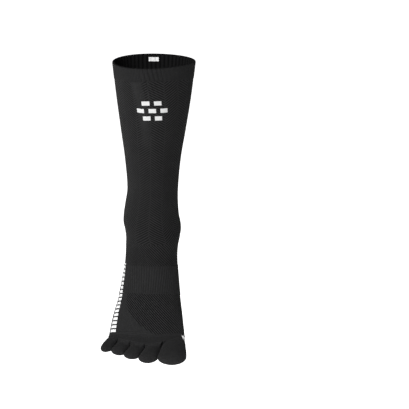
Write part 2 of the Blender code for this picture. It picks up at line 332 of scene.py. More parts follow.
# %% [markdown]
# ## From rings to a mesh with two sides
# A knitted wall has an outer and an inner face. Solidify could add the inner
# one, but it would repeat each of the fine outer faces. Here the rings run
# down the outside, round the edge and up the inside as one closed profile,
# so the inner side needs only a few rings. Two UV maps go with each mesh:
# "knit" counts wales and courses, and the baking map fills the unit square.

# %% Build meshes from rings
OUTSIDE, INSIDE = 0, 1


def quads_between(row_a, row_b, count):
    """Faces between two rings, given the number of each ring's first point."""
    k = np.arange(count)
    after = (k + 1) % count
    return np.stack([row_a + k, row_a + after, row_b + after, row_b + k], axis=1)


def strip_uv(v, width=1.0):
    """UV of one strip of faces, 0 to width across it, from v at each face's corners."""
    k = np.arange(len(v))
    u = np.stack([k, k + 1, k + 1, k], axis=1) * width / len(v)
    return np.stack([u, v], axis=-1)


def add_uv(mesh, name, values):
    layer = mesh.uv_layers.new(name=name)
    layer.data.foreach_set("uv", values.astype(np.float32).ravel())
    return layer


def build_piece(name, rings, courses, inner_from, wales=WALES, tips=()):
    """One object from a closed loop of rings, each point with its course number.

    Rings from inner_from on lie on the inner side. tips are the two rings of a
    toe that have shrunk to a point, which their neighbours meet in triangles.
    """
    count = rings.shape[1]
    steps = np.linalg.norm(np.roll(rings, -1, axis=0) - rings, axis=2).mean(axis=1)
    run = np.concatenate([[0.0], np.cumsum(steps)]) / steps.sum()
    after = np.roll(courses, -1, axis=1)
    faces, knit, bake, sides = [], [], [], []
    for row in range(len(rings)):
        below = (row + 1) % len(rings)
        if row in tips and below in tips:
            continue
        faces.append(quads_between(row * count, below * count, count))
        corners = np.stack([courses[row], after[row], after[below], courses[below]], axis=1)
        knit.append(strip_uv(corners, wales))
        corners = np.broadcast_to([run[row], run[row], run[row + 1], run[row + 1]], (count, 4))
        bake.append(strip_uv(corners))
        sides.append(np.full(count, INSIDE if inner_from <= row < len(rings) - 1 else OUTSIDE))
    mesh = bpy.data.meshes.new(name)
    mesh.from_pydata(rings.reshape(-1, 3).tolist(), [], np.concatenate(faces).tolist())
    add_uv(mesh, "knit", np.concatenate(knit))
    add_uv(mesh, "OFBake", np.concatenate(bake))
    mesh.polygons.foreach_set("material_index", np.concatenate(sides).astype(np.int32))
    if tips:
        close_tips(mesh, [row * count for row in tips], count)
    mesh.shade_smooth()
    piece = bpy.data.objects.new(name, mesh)
    bpy.context.scene.collection.objects.link(piece)
    triangles = sum(len(p.vertices) - 2 for p in mesh.polygons)
    print(f"{name}: {triangles} triangles")
    return piece


def close_tips(mesh, starts, count):
    """Welds each shrunken ring into a single point."""
    shape = bmesh.new()
    shape.from_mesh(mesh)
    shape.verts.ensure_lookup_table()
    targets = {}
    for start in starts:
        keep = shape.verts[start]
        for k in range(1, count):
            targets[shape.verts[start + k]] = keep
    bmesh.ops.weld_verts(shape, targetmap=targets)
    shape.to_mesh(mesh)
    shape.free()


rim_length = np.linalg.norm(np.diff(run_rings[0], axis=0), axis=1).sum()
print("one wale at the rim is", round(rim_length / WALES * 1000, 2), "mm wide")

# %% [markdown]
# ## A tube piece with its relief
# Each zone of the sock is one such closed wall. Its two edges needn't be
# level, because a zone's edge is a formula of the wale. A relief formula gets
# the spot of every point, that is its wale, place and run with the zone's
# edges there, and says how far the point stands out of the wall. A Boolean
# cut could make the edges too, but it would tear the rows of the grid.

# %% Make tube pieces
Spot = namedtuple("Spot", "wale place run start end")
RIM_STEPS = 5


def by_place(wale, place):
    """Counts rows by the middle way down, so that a slanted rib stays straight."""
    return place + 0.0 * wale


def tube_piece(
    name, start, end, rows, per_wale, wall, relief,
    lining=None, inner_rows=10, round_edge=0.0, count=run_at,
):
    """A zone of the tube between two edges, with relief on its outer side.

    rows and per_wale set how fine the outer grid is. count gives the distance
    down the sock by which its courses are numbered.
    """
    columns = int(WALES * per_wale)
    turns = np.arange(columns) / columns
    wale = turns * WALES
    first, last = start(wale), end(wale)
    places = first + (last - first) * np.linspace(0, 1, rows)[:, None]
    base = grid_at(places, turns)
    spot = Spot(wale, places, run_at(wale, places), first, last)
    outer = base + normals_of(base) * relief(spot)[..., None]
    inner_places = first + (last - first) * np.linspace(1, 0, inner_rows)[:, None]
    inner_base = grid_at(inner_places, turns)
    sink = wall + (0.0 * inner_places if lining is None else lining(wale, inner_places))
    inner = inner_base - normals_of(inner_base[::-1])[::-1] * sink[..., None]
    courses = count(wale, np.concatenate([places, inner_places])) / COURSE
    rings = np.concatenate([outer, inner])
    if round_edge:
        rings, courses = rounded_rim(rings, courses, round_edge)
    return build_piece(name, rings, courses, rows)


def rounded_rim(rings, courses, height):
    """Adds rings over the top edge, so that the fold of the rim is round."""
    outer, inner = rings[0], rings[-1]
    middle, half = (outer + inner) / 2, (outer - inner) / 2
    extra = []
    for k in range(1, RIM_STEPS + 1):
        angle = math.pi * k / (RIM_STEPS + 1)
        lift = np.array([0.0, 0.0, height]) * math.sin(angle)
        extra.append(middle - half * math.cos(angle) + lift)
    level = np.broadcast_to(courses[0], (RIM_STEPS, len(outer)))
    return np.concatenate([rings, np.stack(extra)]), np.concatenate([courses, level])


def ends_fade(place, start, end, width):
    """1 inside the zone and 0 at its two ends."""
    return smooth(place, start, start + width) * (1 - smooth(place, end - width, end))


print("ready to knit", len(PLACE), "foot sections")

# %% [markdown]
# ## The edges of the zones
# On a leg the cuff reaches further down at the back than at the front, and
# the foot's zones tilt a little as the fabric turns round the ankle. We could
# cut the meshes along drawn curves. A cosine round the leg gives the same
# lines, and both neighbours read it, so they always meet.

# %% Draw the edges
FRONT_WALE = WALES / 2
CUFF_EDGE_BACK = 0.006
HEEL_EDGE_FRONT = 0.0027
BAND_EDGE_TILT = 0.0018
FOREFOOT_END = PLACE["toe_seam"]


def facing_front(wale):
    """1 at the front of the leg and -1 at its back."""
    return np.cos(2 * np.pi * (wale - FRONT_WALE) / WALES)


def rim(wale):
    return 0.0 * wale


def cuff_edge(wale):
    return CUFF_HEIGHT - CUFF_EDGE_BACK * facing_front(wale)


def heel_edge(wale):
    return PLACE["heel"] - HEEL_EDGE_FRONT * (1 + facing_front(wale))


def band_tilt(wale):
    return BAND_EDGE_TILT * np.sin(2 * np.pi * (FRONT_WALE - wale) / WALES)


def band_start(wale):
    return PLACE["arch_start"] + band_tilt(wale)


def band_end(wale):
    return PLACE["arch_end"] + band_tilt(wale)


def toe_line(wale):
    return FOREFOOT_END + 0.0 * wale


cuff_heights = cuff_edge(np.array([FRONT_WALE, 0.0])) * 1000
print("cuff height, front and back:", cuff_heights.round(1).tolist(), "mm")

# %% [markdown]
# ## The cuff
# The cuff is a doubled band with elastic yarn. Its upright ribs are one wale
# wide outside and three wales wide inside, and at the front the elastic pulls
# it into slanted gathers. A cloth simulation could gather it, but the gathers
# are fixed in the knit, so waves in the relief do it better.

# %% Knit the cuff
CUFF_WALL = 0.0024
CUFF_PROUD = 0.0003
CUFF_RIB = 0.00011
CUFF_EDGE_SOFT, CUFF_RIM_SOFT = 0.0012, (-0.001, 0.0015)
GATHER_DEPTH = 0.0006
GATHER_WALE, GATHER_WIDTH, GATHER_PITCH = 84.0, 7.0, 2.8
GATHER_SLANT, GATHER_FADE = 130.0, (0.015, 0.055)
LINING_RIB, LINING_RIB_WALES = 0.0006, 3
LINING_RIM_SOFT = (0.0002, 0.003)
PIECES = {}


def gathers(wale, place):
    """Slanted folds under the rim, which die out down the leg."""
    near = np.exp(-(((wale - GATHER_WALE) / GATHER_WIDTH) ** 2))
    wave = np.cos(2 * np.pi * (wale + GATHER_SLANT * place) / GATHER_PITCH)
    return near * wave * (1 - smooth(place, *GATHER_FADE))


def cuff_relief(spot):
    ribs = CUFF_RIB * np.cos(2 * np.pi * spot.wale)
    edge = 1 - smooth(spot.place, spot.end - CUFF_EDGE_SOFT, spot.end)
    rim_fade = smooth(spot.place, spot.start + CUFF_RIM_SOFT[0], spot.start + CUFF_RIM_SOFT[1])
    lift = CUFF_PROUD * edge * rim_fade
    return ribs * edge + lift + GATHER_DEPTH * gathers(spot.wale, spot.place)


def cuff_lining(wale, place):
    fade = smooth(place, *LINING_RIM_SOFT)
    return LINING_RIB * np.abs(np.cos(np.pi * wale / LINING_RIB_WALES)) * fade


PIECES["cuff"] = tube_piece(
    "knitted_cuff", rim, cuff_edge, 40, 4, CUFF_WALL, cuff_relief, cuff_lining, round_edge=0.0009,
)

# %% [markdown]
# ## The leg
# Sixteen columns of slanting stripes run down the leg. Their slant changes
# from column to column, and every second column starts half a stripe lower,
# as in a herringbone. On the machine the stripes come from missed stitches,
# which sink a little. A bump map would give the stripes but no real relief,
# so one phase formula shapes the mesh here, and later darkens the grooves,
# partly as open stitches and partly as painted shade. Over the shin the
# fabric is stretched into one soft slanting crease.

# %% Knit the leg
KNIT_WALL = 0.0014
PEAK_WALE = FRONT_WALE + 2
CHEVRON_WALES = WALES / 16
CHEVRON_PERIOD = 0.0030
CHEVRON_RISE = 3.5
CHEVRON_DEPTH, CHEVRON_ENDS = 0.00017, 0.002
SHIN_CREASE, SHIN_CREASE_WIDTH = 0.0015, 3.0
CREASE_WALE, CREASE_SLANT, CREASE_FADE = 93.0, 60.0, (0.06, 0.12)


def zigzag(wale):
    """How many wales away the nearest peak of a chevron is."""
    return CHEVRON_WALES - np.abs((wale - PEAK_WALE) % (2 * CHEVRON_WALES) - CHEVRON_WALES)


def leg_relief(spot):
    half_steps = np.floor((spot.wale - PEAK_WALE) / CHEVRON_WALES) % 2 / 2
    phase = spot.run / CHEVRON_PERIOD - CHEVRON_RISE * zigzag(spot.wale) / CHEVRON_WALES + half_steps
    stripes = CHEVRON_DEPTH * np.cos(2 * np.pi * phase)
    crease_wale = CREASE_WALE - CREASE_SLANT * (spot.place - CUFF_HEIGHT)
    crease = np.exp(-(((spot.wale - crease_wale) / SHIN_CREASE_WIDTH) ** 2))
    crease = SHIN_CREASE * crease * (1 - smooth(spot.place, *CREASE_FADE))
    fade = ends_fade(spot.place, spot.start, spot.end, CHEVRON_ENDS)
    return (stripes + crease) * fade + GATHER_DEPTH * gathers(spot.wale, spot.place)


PIECES["leg_tube"] = tube_piece(
    "knitted_leg", cuff_edge, heel_edge, 440, 1.25, KNIT_WALL, leg_relief, inner_rows=20,
)

# %% [markdown]
# ## The heel pocket and the arch band
# The heel is plain knitting, made deep by turning rows, and over the instep
# it opens into a fine diamond mesh. The band behind the ball of the foot is
# ribbed and thicker, because it grips the arch. Real holes would need
# hundreds of thousands of faces, so the mesh is crossed waves of low relief.

# %% Knit the heel pocket and the arch band
MESH_DEPTH, MESH_ENDS = 0.00020, 0.0015
MESH_WALES, MESH_RISE = 1.8, 0.0028
MESH_HALF_WIDTH, MESH_SOFT = 44.0, 4.0
MESH_LESSER = 0.28
BAND_WALL, BAND_PROUD = 0.0018, 0.0003
BAND_RIB_WALES = WALES / 72
BAND_RIB, BAND_ENDS = 0.00016, 0.0012


def front_share(wale):
    """1 over the instep, 0 round the heel and sole."""
    return 1 - smooth(np.abs(wale - FRONT_WALE), MESH_HALF_WIDTH, MESH_HALF_WIDTH + MESH_SOFT)


def heel_relief(spot):
    one = np.cos(2 * np.pi * (spot.wale / MESH_WALES + spot.run / MESH_RISE))
    other = np.cos(2 * np.pi * (spot.wale / MESH_WALES - spot.run / MESH_RISE))
    crossed = (1 - MESH_LESSER) * one + MESH_LESSER * other
    mesh = MESH_DEPTH * crossed * front_share(spot.wale)
    return mesh * ends_fade(spot.place, spot.start, spot.end, MESH_ENDS)


def band_relief(spot):
    ribs = BAND_RIB * np.cos(2 * np.pi * spot.wale / BAND_RIB_WALES)
    return (ribs + BAND_PROUD) * ends_fade(spot.place, spot.start, spot.end, BAND_ENDS)


PIECES["heel_pocket"] = tube_piece(
    "knitted_heel_pocket", heel_edge, band_start, 100, 3, KNIT_WALL, heel_relief,
)
PIECES["arch_band"] = tube_piece(
    "knitted_arch_band", band_start, band_end, 44, 3, BAND_WALL, band_relief,
    inner_rows=8, count=by_place,
)

# %% [markdown]
# ## The forefoot
# A panel of slanting ribs covers the instep as far as a curved line that runs
# from the outer side of the band to the middle of the toe line. The rest is
# plain. A raised seam with two small folds over it ends the tube at the toes.
# The folds could be pinched by hand in sculpt mode. As formulas they keep
# their distance from the toe line.

# %% Knit the forefoot
SLANT_WALES, SLANT_RISE = 2.35, 0.0036
SLANT_DEPTH, SLANT_START = 0.00035, 0.001
SEAM_AT, SEAM_HEIGHT, SEAM_WIDTH = 0.0006, 0.0005, 0.0006
GROOVE_AT, GROOVE_DEPTH, GROOVE_WIDTH = 0.0020, 0.0006, 0.0006
FOLD_HEIGHT, FOLD_WIDTH = 0.0006, 0.0008
FOLDS_AT = ((0.0036, 0.4), (0.0058, 1.3))
FOLD_WAVE, FOLD_WAVE_WALES = 0.0005, 5
FOLDS_FROM, FOLDS_TO = (76, 84), (108, 118)
PANEL_OUTER, PANEL_INNER = 108.0, 44.0
PANEL_CURVE, PANEL_POWER = 38.0, 2.4
PANEL_STOP = (0.004, 0.002)
PANEL_SOFT_OUTER, PANEL_SOFT_INNER = 0.7, 1
FOREFOOT_START = PLACE["arch_end"]


def panel_edge(place):
    """The wale of the panel's outer edge, which curves in towards the toe line."""
    share = np.clip((place - FOREFOOT_START) / (FOREFOOT_END - FOREFOOT_START), 0, 1)
    return PANEL_OUTER - PANEL_CURVE * share**PANEL_POWER


def forefoot_relief(spot):
    slant = np.cos(2 * np.pi * (spot.wale / SLANT_WALES + spot.place / SLANT_RISE))
    edge = panel_edge(spot.place)
    short = spot.end - spot.place
    panel = 1 - smooth(spot.wale, edge - PANEL_SOFT_OUTER, edge + PANEL_SOFT_OUTER)
    panel = panel * smooth(spot.wale, PANEL_INNER - PANEL_SOFT_INNER, PANEL_INNER + PANEL_SOFT_INNER)
    panel = panel * (1 - smooth(spot.place, spot.end - PANEL_STOP[0], spot.end - PANEL_STOP[1]))
    seam = SEAM_HEIGHT * np.exp(-(((short - SEAM_AT) / SEAM_WIDTH) ** 2))
    seam = seam - GROOVE_DEPTH * np.exp(-(((short - GROOVE_AT) / GROOVE_WIDTH) ** 2))
    folds = 0.0
    for height, phase in FOLDS_AT:
        line = height + FOLD_WAVE * np.sin(spot.wale / FOLD_WAVE_WALES + phase)
        folds = folds + np.exp(-(((short - line) / FOLD_WIDTH) ** 2))
    outer_top = smooth(spot.wale, *FOLDS_FROM) * (1 - smooth(spot.wale, *FOLDS_TO))
    ribs = SLANT_DEPTH * slant * panel * smooth(spot.place, spot.start, spot.start + SLANT_START)
    return ribs + seam + FOLD_HEIGHT * folds * outer_top


PIECES["forefoot"] = tube_piece(
    "knitted_forefoot", band_end, toe_line, 120, 3, KNIT_WALL, forefoot_relief,
    inner_rows=12, count=by_place,
)

# %% [markdown]
# ## The toes
# Each toe is a pocket of its own. It starts as its share of the toe line's
# flat outline, turns into a round tube past the crotch, and ends in a blunt
# tip, cut at an angle of its own. Metaballs would melt the toes together, so
# each is lofted between two lane lines, and the toes touch without joining,
# as they do in the sock.

# %% Toe tables
BIG_TOE_LENGTH, BIG_TOE_THICKNESS = 0.0368, 0.024
TOE_WALL, TOE_COLLAR = 0.0012, 0.001
TOE_LIFT = math.radians(12)
TOE_ROUND_LENGTH = 0.0040
TOE_NECK_DEPTH, TOE_NECK_AT, TOE_NECK_WIDTH = 0.02, 0.30, 0.13
TOE_TAPER_START, TOE_HEIGHT_POWER = 0.45, 2.6
TOE_CAP_START, TOE_WIDTH_POWER = 0.66, 2.6
TOE_SQUARENESS = 1.95
LANE_BEND_LENGTH = 0.024
# share across the toe line, degrees of slant at the seam and one bend length
# on, metres from the seam to the crotch
LaneLine = namedtuple("LaneLine", "share first last crotch")
LANE_LINES = [
    LaneLine(0.000, -34, -18, 0.0010),
    LaneLine(0.140, -20, -39, 0.0035),
    LaneLine(0.307, -8, -44, 0.0060),
    LaneLine(0.498, -6, -37, 0.0085),
    LaneLine(0.705, -3, -22, 0.0080),
    LaneLine(1.000, 6, 2, 0.0020),
]
# shares of the big toe's length and thickness, wales, degrees of the tip's
# cut, metres of swell on the two sides
Toe = namedtuple("Toe", "name length thickness wales cut outer_swell inner_swell")
TOES = [
    Toe("little_toe", 0.610, 0.64, 36, -8, 0.0012, 0.0004),
    Toe("fourth_toe", 0.650, 0.68, 40, -7, 0.0006, 0.0006),
    Toe("third_toe", 0.730, 0.72, 42, -8, 0.0006, 0.0006),
    Toe("second_toe", 0.860, 0.80, 46, -10, 0.0004, 0.0008),
    Toe("big_toe", 1.020, 1.00, 60, -15, 0.0004, 0.0006),
]
print(len(TOES), "toes, the longest", BIG_TOE_LENGTH * 1000, "mm")

# %% The outline that a toe starts from
SEAM = {field: ROWS[-1][k] for k, field in enumerate(FIELDS)}
SEAM_CENTRE = (SEAM["little_x"] + SEAM["big_x"]) / 2
SEAM_HALF = (SEAM["big_x"] - SEAM["little_x"]) / 2
SEAM_DEPTH = math.hypot(SEAM["front_y"] - SEAM["back_y"], SEAM["front_z"] - SEAM["back_z"])


def seam_height(x):
    """Half the toe line's thickness at a place across it."""
    share = np.minimum(np.abs(x - SEAM_CENTRE) / SEAM_HALF, 1.0)
    power = SEAM["squareness"]
    return SEAM_DEPTH / 2 * (1 - share**power) ** (1 / power)


def cell_outline(left, right, steps=180):
    """The toe line's outline between two lane lines, from the sole's middle."""
    x = left + (right - left) * np.linspace(0, 1, steps + 1)
    centre = (left + right) / 2
    sole = np.stack([x - centre, -seam_height(x)], axis=1)
    top = np.stack([x - centre, seam_height(x)], axis=1)[::-1]
    rise = np.linspace(0, 1, steps)[1:-1, None]
    right_side = sole[-1] + (top[0] - sole[-1]) * rise
    left_side = top[-1] + (sole[0] - top[-1]) * rise
    turn = steps // 2
    return np.concatenate([sole[turn:], right_side, top, left_side, sole[:turn + 1]])


def toe_spot(x, along, up):
    """Points beyond the toe line, in the sock's own frame."""
    middle_up = (SEAM_TOP + SEAM_SOLE) / 2 * JOINT_HEIGHT
    forward, height = posed(along + SEAM_ALONG * FOOT_LENGTH, up + middle_up)
    section = {field: np.array([[value]]) for field, value in SEAM.items()}
    extra_forward, extra_height = slant_shift(x, section)
    return np.stack([x, -(forward + extra_forward), height + extra_height], axis=-1)


print("toe line is", round(SEAM_HALF * 2000, 1), "mm wide and", round(SEAM_DEPTH * 1000, 1), "mm thick")

# %% Loft one toe
TOE_BODY_ROWS, TOE_CAP_ROWS = 44, 30
TOE_COLUMNS = 128


def toe_profile():
    """Shares of the toe's length, with the height and width shares there."""
    body = np.linspace(0, TOE_TAPER_START, TOE_BODY_ROWS, endpoint=False)
    angle = np.linspace(0, math.pi / 2, TOE_CAP_ROWS)
    taper = TOE_TAPER_START + (1 - TOE_TAPER_START) * np.sin(angle) ** (2 / TOE_HEIGHT_POWER)
    run = np.concatenate([body, taper])
    height, width = [
        np.sqrt(np.maximum(1 - np.clip((run - start) / (1 - start), 0, 1) ** power, 0.0))
        for start, power in ((TOE_TAPER_START, TOE_HEIGHT_POWER), (TOE_CAP_START, TOE_WIDTH_POWER))
    ]
    neck = 1 - TOE_NECK_DEPTH * np.exp(-(((run - TOE_NECK_AT) / TOE_NECK_WIDTH) ** 2))
    return run, height, width * neck


def lane_line(line, run):
    """Where a line between two toes lies across the foot, a run past the seam."""
    first, last = math.tan(math.radians(line.first)), math.tan(math.radians(line.last))
    start = SEAM["little_x"] + line.share * 2 * SEAM_HALF
    return start + first * run + (last - first) * run**2 / (2 * LANE_BEND_LENGTH)


def toe_surface(toe, left, right):
    length = toe.length * BIG_TOE_LENGTH
    share, size, width_size = toe_profile()
    run = (share * length)[:, None]
    free_run = np.maximum(run - TOE_COLLAR, 0.0)
    left_x, right_x = lane_line(left, free_run), lane_line(right, free_run)
    centre, lane_width = (left_x + right_x) / 2, right_x - left_x
    splay = np.arctan(np.gradient(centre[:, 0], run[:, 0]))[:, None]
    turns = np.arange(TOE_COLUMNS) / TOE_COLUMNS
    outline = np.pad(cell_outline(left_x[0, 0], right_x[0, 0]), ((0, 0), (0, 1)))
    cell = read_evenly(outline, turns)[:, :2]
    angle = 2 * np.pi * turns[None, :]
    side = np.sin(angle)
    crotch = left.crotch + (right.crotch - left.crotch) * (side + 1) / 2
    roundness = smooth(run, crotch, crotch + TOE_ROUND_LENGTH)
    turn = math.radians(toe.cut) * roundness
    width = lane_width * width_size[:, None] * np.cos(splay) / np.cos(splay - turn)
    height = toe.thickness * BIG_TOE_THICKNESS * size[:, None]
    flat_x = cell[None, :, 0] * width / lane_width[0, 0]
    flat_y = cell[None, :, 1] + np.zeros_like(width)
    round_x = powered(side, TOE_SQUARENESS) * width / 2
    round_y = -powered(np.cos(angle), TOE_SQUARENESS) * height / 2
    x = flat_x + (round_x - flat_x) * roundness
    y = flat_y + (round_y - flat_y) * roundness
    hump = np.sin(np.pi * share)[:, None]
    swell = toe.inner_swell * np.maximum(side, 0) + toe.outer_swell * np.minimum(side, 0)
    x = x + hump * swell
    lift = math.tan(TOE_LIFT) * run**2 / length
    return toe_spot(centre + np.cos(turn) * x, run - np.sin(turn) * x, lift + y)


TOE_START_RUN = float(run_at(FRONT_WALE, FOREFOOT_END))


def toe_piece(toe, left, right):
    """A toe pocket, with its outer rings first and every third one again inside."""
    outer = toe_surface(toe, left, right)
    normal = normals_of(outer[:-1])
    tip_direction = outer[-1].mean(axis=0) - outer[-4].mean(axis=0)
    tip_normal = tip_direction / np.linalg.norm(tip_direction)
    normal = np.concatenate([normal, np.broadcast_to(tip_normal, outer[-1:].shape)])
    inner = (outer - normal * TOE_WALL)[::-3]
    run = np.linalg.norm(np.diff(outer.mean(axis=1), axis=0), axis=1)
    run = TOE_START_RUN + np.concatenate([[0.0], np.cumsum(run)])
    rings = np.concatenate([outer, inner])
    courses = np.concatenate([run, run[::-3]])[:, None] / COURSE + np.zeros(rings.shape[:2])
    tips = (len(outer) - 1, len(outer))
    return build_piece("knitted_" + toe.name, rings, courses, len(outer), toe.wales, tips)


for toe, left, right in zip(TOES, LANE_LINES, LANE_LINES[1:]):
    PIECES[toe.name] = toe_piece(toe, left, right)

# %% [markdown]
# ## Yarn
# Knitted cotton is matt and a little fuzzy. A photographed texture would
# carry its own light, and would be as coarse as its pixels, so each finish is
# a small net of nodes. It reads the wale and course numbers from the "knit"
# UV map, and from them it draws each stitch as two slanting legs.

# %% A helper that joins nodes
class Finish:
    """A material, with short words for the nodes that it is made of."""

    def __init__(self, name):
        self.material = bpy.data.materials.new(name)
        self.material.use_nodes = True
        self.tree = self.material.node_tree
        self.shader = self.tree.nodes["Principled BSDF"]
        knit = self.tree.nodes.new("ShaderNodeUVMap")
        knit.uv_map = "knit"
        parts = self.tree.nodes.new("ShaderNodeSeparateXYZ")
        self.tree.links.new(knit.outputs["UV"], parts.inputs[0])
        self.wale, self.course = parts.outputs[0], parts.outputs[1]
        self.spot = self.tree.nodes.new("ShaderNodeTexCoord").outputs["Object"]

    def plug(self, value, socket):
        if hasattr(value, "is_linked"):
            self.tree.links.new(value, socket)
        else:
            socket.default_value = value

    def maths(self, operation, *values):
        node = self.tree.nodes.new("ShaderNodeMath")
        node.operation = operation
        for value, socket in zip(values, node.inputs):
            self.plug(value, socket)
        return node.outputs[0]

    def add(self, *values):
        total = values[0]
        for value in values[1:]:
            total = self.maths("ADD", total, value)
        return total

    def times(self, *values):
        total = values[0]
        for value in values[1:]:
            total = self.maths("MULTIPLY", total, value)
        return total

    def step(self, value, low, high):
        """0 below low and 1 above high."""
        node = self.tree.nodes.new("ShaderNodeMapRange")
        node.interpolation_type = "SMOOTHSTEP"
        for given, socket in zip((value, low, high), node.inputs):
            self.plug(given, socket)
        return node.outputs[0]

    def between(self, share, low, high):
        """low where share is 0 and high where it is 1."""
        node = self.tree.nodes.new("ShaderNodeMapRange")
        for given, socket in zip((share, 0.0, 1.0, low, high), node.inputs):
            self.plug(given, socket)
        return node.outputs[0]

    def wave(self, turns):
        """A cosine from 0 to 1 that repeats once a turn."""
        cosine = self.maths("COSINE", self.times(turns, 2 * math.pi))
        return self.maths("MULTIPLY_ADD", cosine, 0.5, 0.5)

    def noise(self, scale, detail=2.0):
        node = self.tree.nodes.new("ShaderNodeTexNoise")
        self.plug(self.spot, node.inputs["Vector"])
        node.inputs["Scale"].default_value = scale
        node.inputs["Detail"].default_value = detail
        return node.outputs["Fac"]

    def colour(self, share, low, high):
        node = self.tree.nodes.new("ShaderNodeMix")
        node.data_type = "RGBA"
        self.plug(share, node.inputs["Factor"])
        for value, name in ((low, "A"), (high, "B")):
            socket = [s for s in node.inputs if s.name == name and s.type == "RGBA"][0]
            self.plug(value if hasattr(value, "is_linked") else (*value, 1.0), socket)
        return [s for s in node.outputs if s.type == "RGBA"][0]


print("finish helper ready")

# %% Stitches, marl and fuzz
STITCH_SLOPE = 0.55
YARN_DARK = (0.0015, 0.0015, 0.0016)
YARN_LIGHT = (0.0300, 0.0300, 0.0305)
GREY_YARN, WHITE_YARN = 0.52, 0.80
MARK_GROOVE = 0.55
SHEEN, SHEEN_ROUGHNESS = 0.02, 0.45
YARN_SPECULAR = 0.02
YARN_ROUGHNESS = (0.95, 0.72)
STITCH_TONE, MARL_TONE, PATCH_TONE = (0.26, 0.42), 0.20, 0.05
MARL_SCALE, PATCH_SCALE, FUZZ_SCALE = 900.0, 60.0, 3500.0
STITCH_DEPTH, STITCH_STRENGTH = 0.00025, 0.8
FUZZ_SHARE, MARL_SHARE = 0.35, 0.3


def stitches(f):
    """The height of plain knitting: two legs that slant to the middle of each wale."""
    across = f.maths("ABSOLUTE", f.maths("MULTIPLY_ADD", f.maths("FRACT", f.wale), 2.0, -1.0))
    row = f.maths("FRACT", f.maths("SUBTRACT", f.course, f.times(across, STITCH_SLOPE)))
    ridge = f.maths("MULTIPLY_ADD", row, 2.0, -1.0)
    leg = f.maths("MULTIPLY_ADD", across, 2.0, -1.0)
    one = f.maths("SUBTRACT", 1.0, f.times(ridge, ridge))
    two = f.maths("SUBTRACT", 1.0, f.times(leg, leg))
    return f.times(one, two)


def yarn_finish(name, pattern=None, depth=0.0, light=1.0, marks=(), shine=1.0):
    """Dark yarn. pattern(f) is 1 on ridges and 0 in grooves, and depth is how much darker the grooves
    are, partly open stitches and partly painted shade.

    light scales the whole yarn. marks are pairs: where(f) is 1 on the stitches
    of paler yarn, and then its shade. shine is the yarn's share of the common
    sheen and gloss.
    """
    f = Finish(name)
    stitch = stitches(f)
    marl = f.noise(MARL_SCALE, 3.0)
    patches = f.noise(PATCH_SCALE)
    fuzz = f.noise(FUZZ_SCALE, 2.0)
    tone = f.add(
        f.between(stitch, *STITCH_TONE),
        f.between(marl, -MARL_TONE, MARL_TONE),
        f.between(patches, -PATCH_TONE, PATCH_TONE),
    )
    if pattern is not None:
        ridge = pattern(f)
        # darker yarn in the grooves: partly open stitches, partly painted shade
        tone = f.times(tone, f.between(ridge, 1.0 - depth, 1.0 + depth))
    tone = f.times(tone, light)
    colour = f.colour(tone, YARN_DARK, YARN_LIGHT)
    for where, shade in marks:
        paler = f.colour(f.between(stitch, 0.0, 1.0), [shade * MARK_GROOVE] * 3, [shade] * 3)
        colour = f.colour(where(f), colour, paler)
    f.plug(colour, f.shader.inputs["Base Color"])
    f.plug(f.between(marl, *YARN_ROUGHNESS), f.shader.inputs["Roughness"])
    f.shader.inputs["Sheen Weight"].default_value = SHEEN * shine
    f.shader.inputs["Sheen Roughness"].default_value = SHEEN_ROUGHNESS
    f.shader.inputs["Specular IOR Level"].default_value = YARN_SPECULAR * shine
    height = f.add(stitch, f.times(fuzz, FUZZ_SHARE), f.times(marl, MARL_SHARE))
    bump = f.tree.nodes.new("ShaderNodeBump")
    bump.inputs["Distance"].default_value = STITCH_DEPTH
    bump.inputs["Strength"].default_value = STITCH_STRENGTH
    f.plug(height, bump.inputs["Height"])
    f.plug(bump.outputs[0], f.shader.inputs["Normal"])
    return f.material


print("yarn shades:", YARN_DARK[0], "to", YARN_LIGHT[0])

# %% [markdown]
# ## The patterns in the knit
# Each pattern repeats the relief formula of its zone, as node maths, and the
# yarn is darker in its grooves: partly open stitches, partly painted shade. The
# stripes could be painted on a UV image, but a formula stays sharp at any
# distance, and it can't drift away from the ridges in the mesh.

# %% Patterns
# The crease level paints a paler strip along the shin crease: a painted highlight on its ridge.
CREASE_CORE, CREASE_EDGE, CREASE_HIGHLIGHT_LEVEL = 1.0, 5.5, 0.72
CREASE_STITCHES = (60, 105)
BORDER_CORE, BORDER_EDGE, BORDER_LEVEL = 0.1, 0.7, 0.48
MESH_DARK, MESH_PALE, NO_MESH_LEVEL = 0.3, 0.75, 0.5
SLANT_DARK, SLANT_PALE = 0.2, 0.8
PANEL_LEVELS, PLAIN_LEVEL = (0.02, 0.92), 0.62


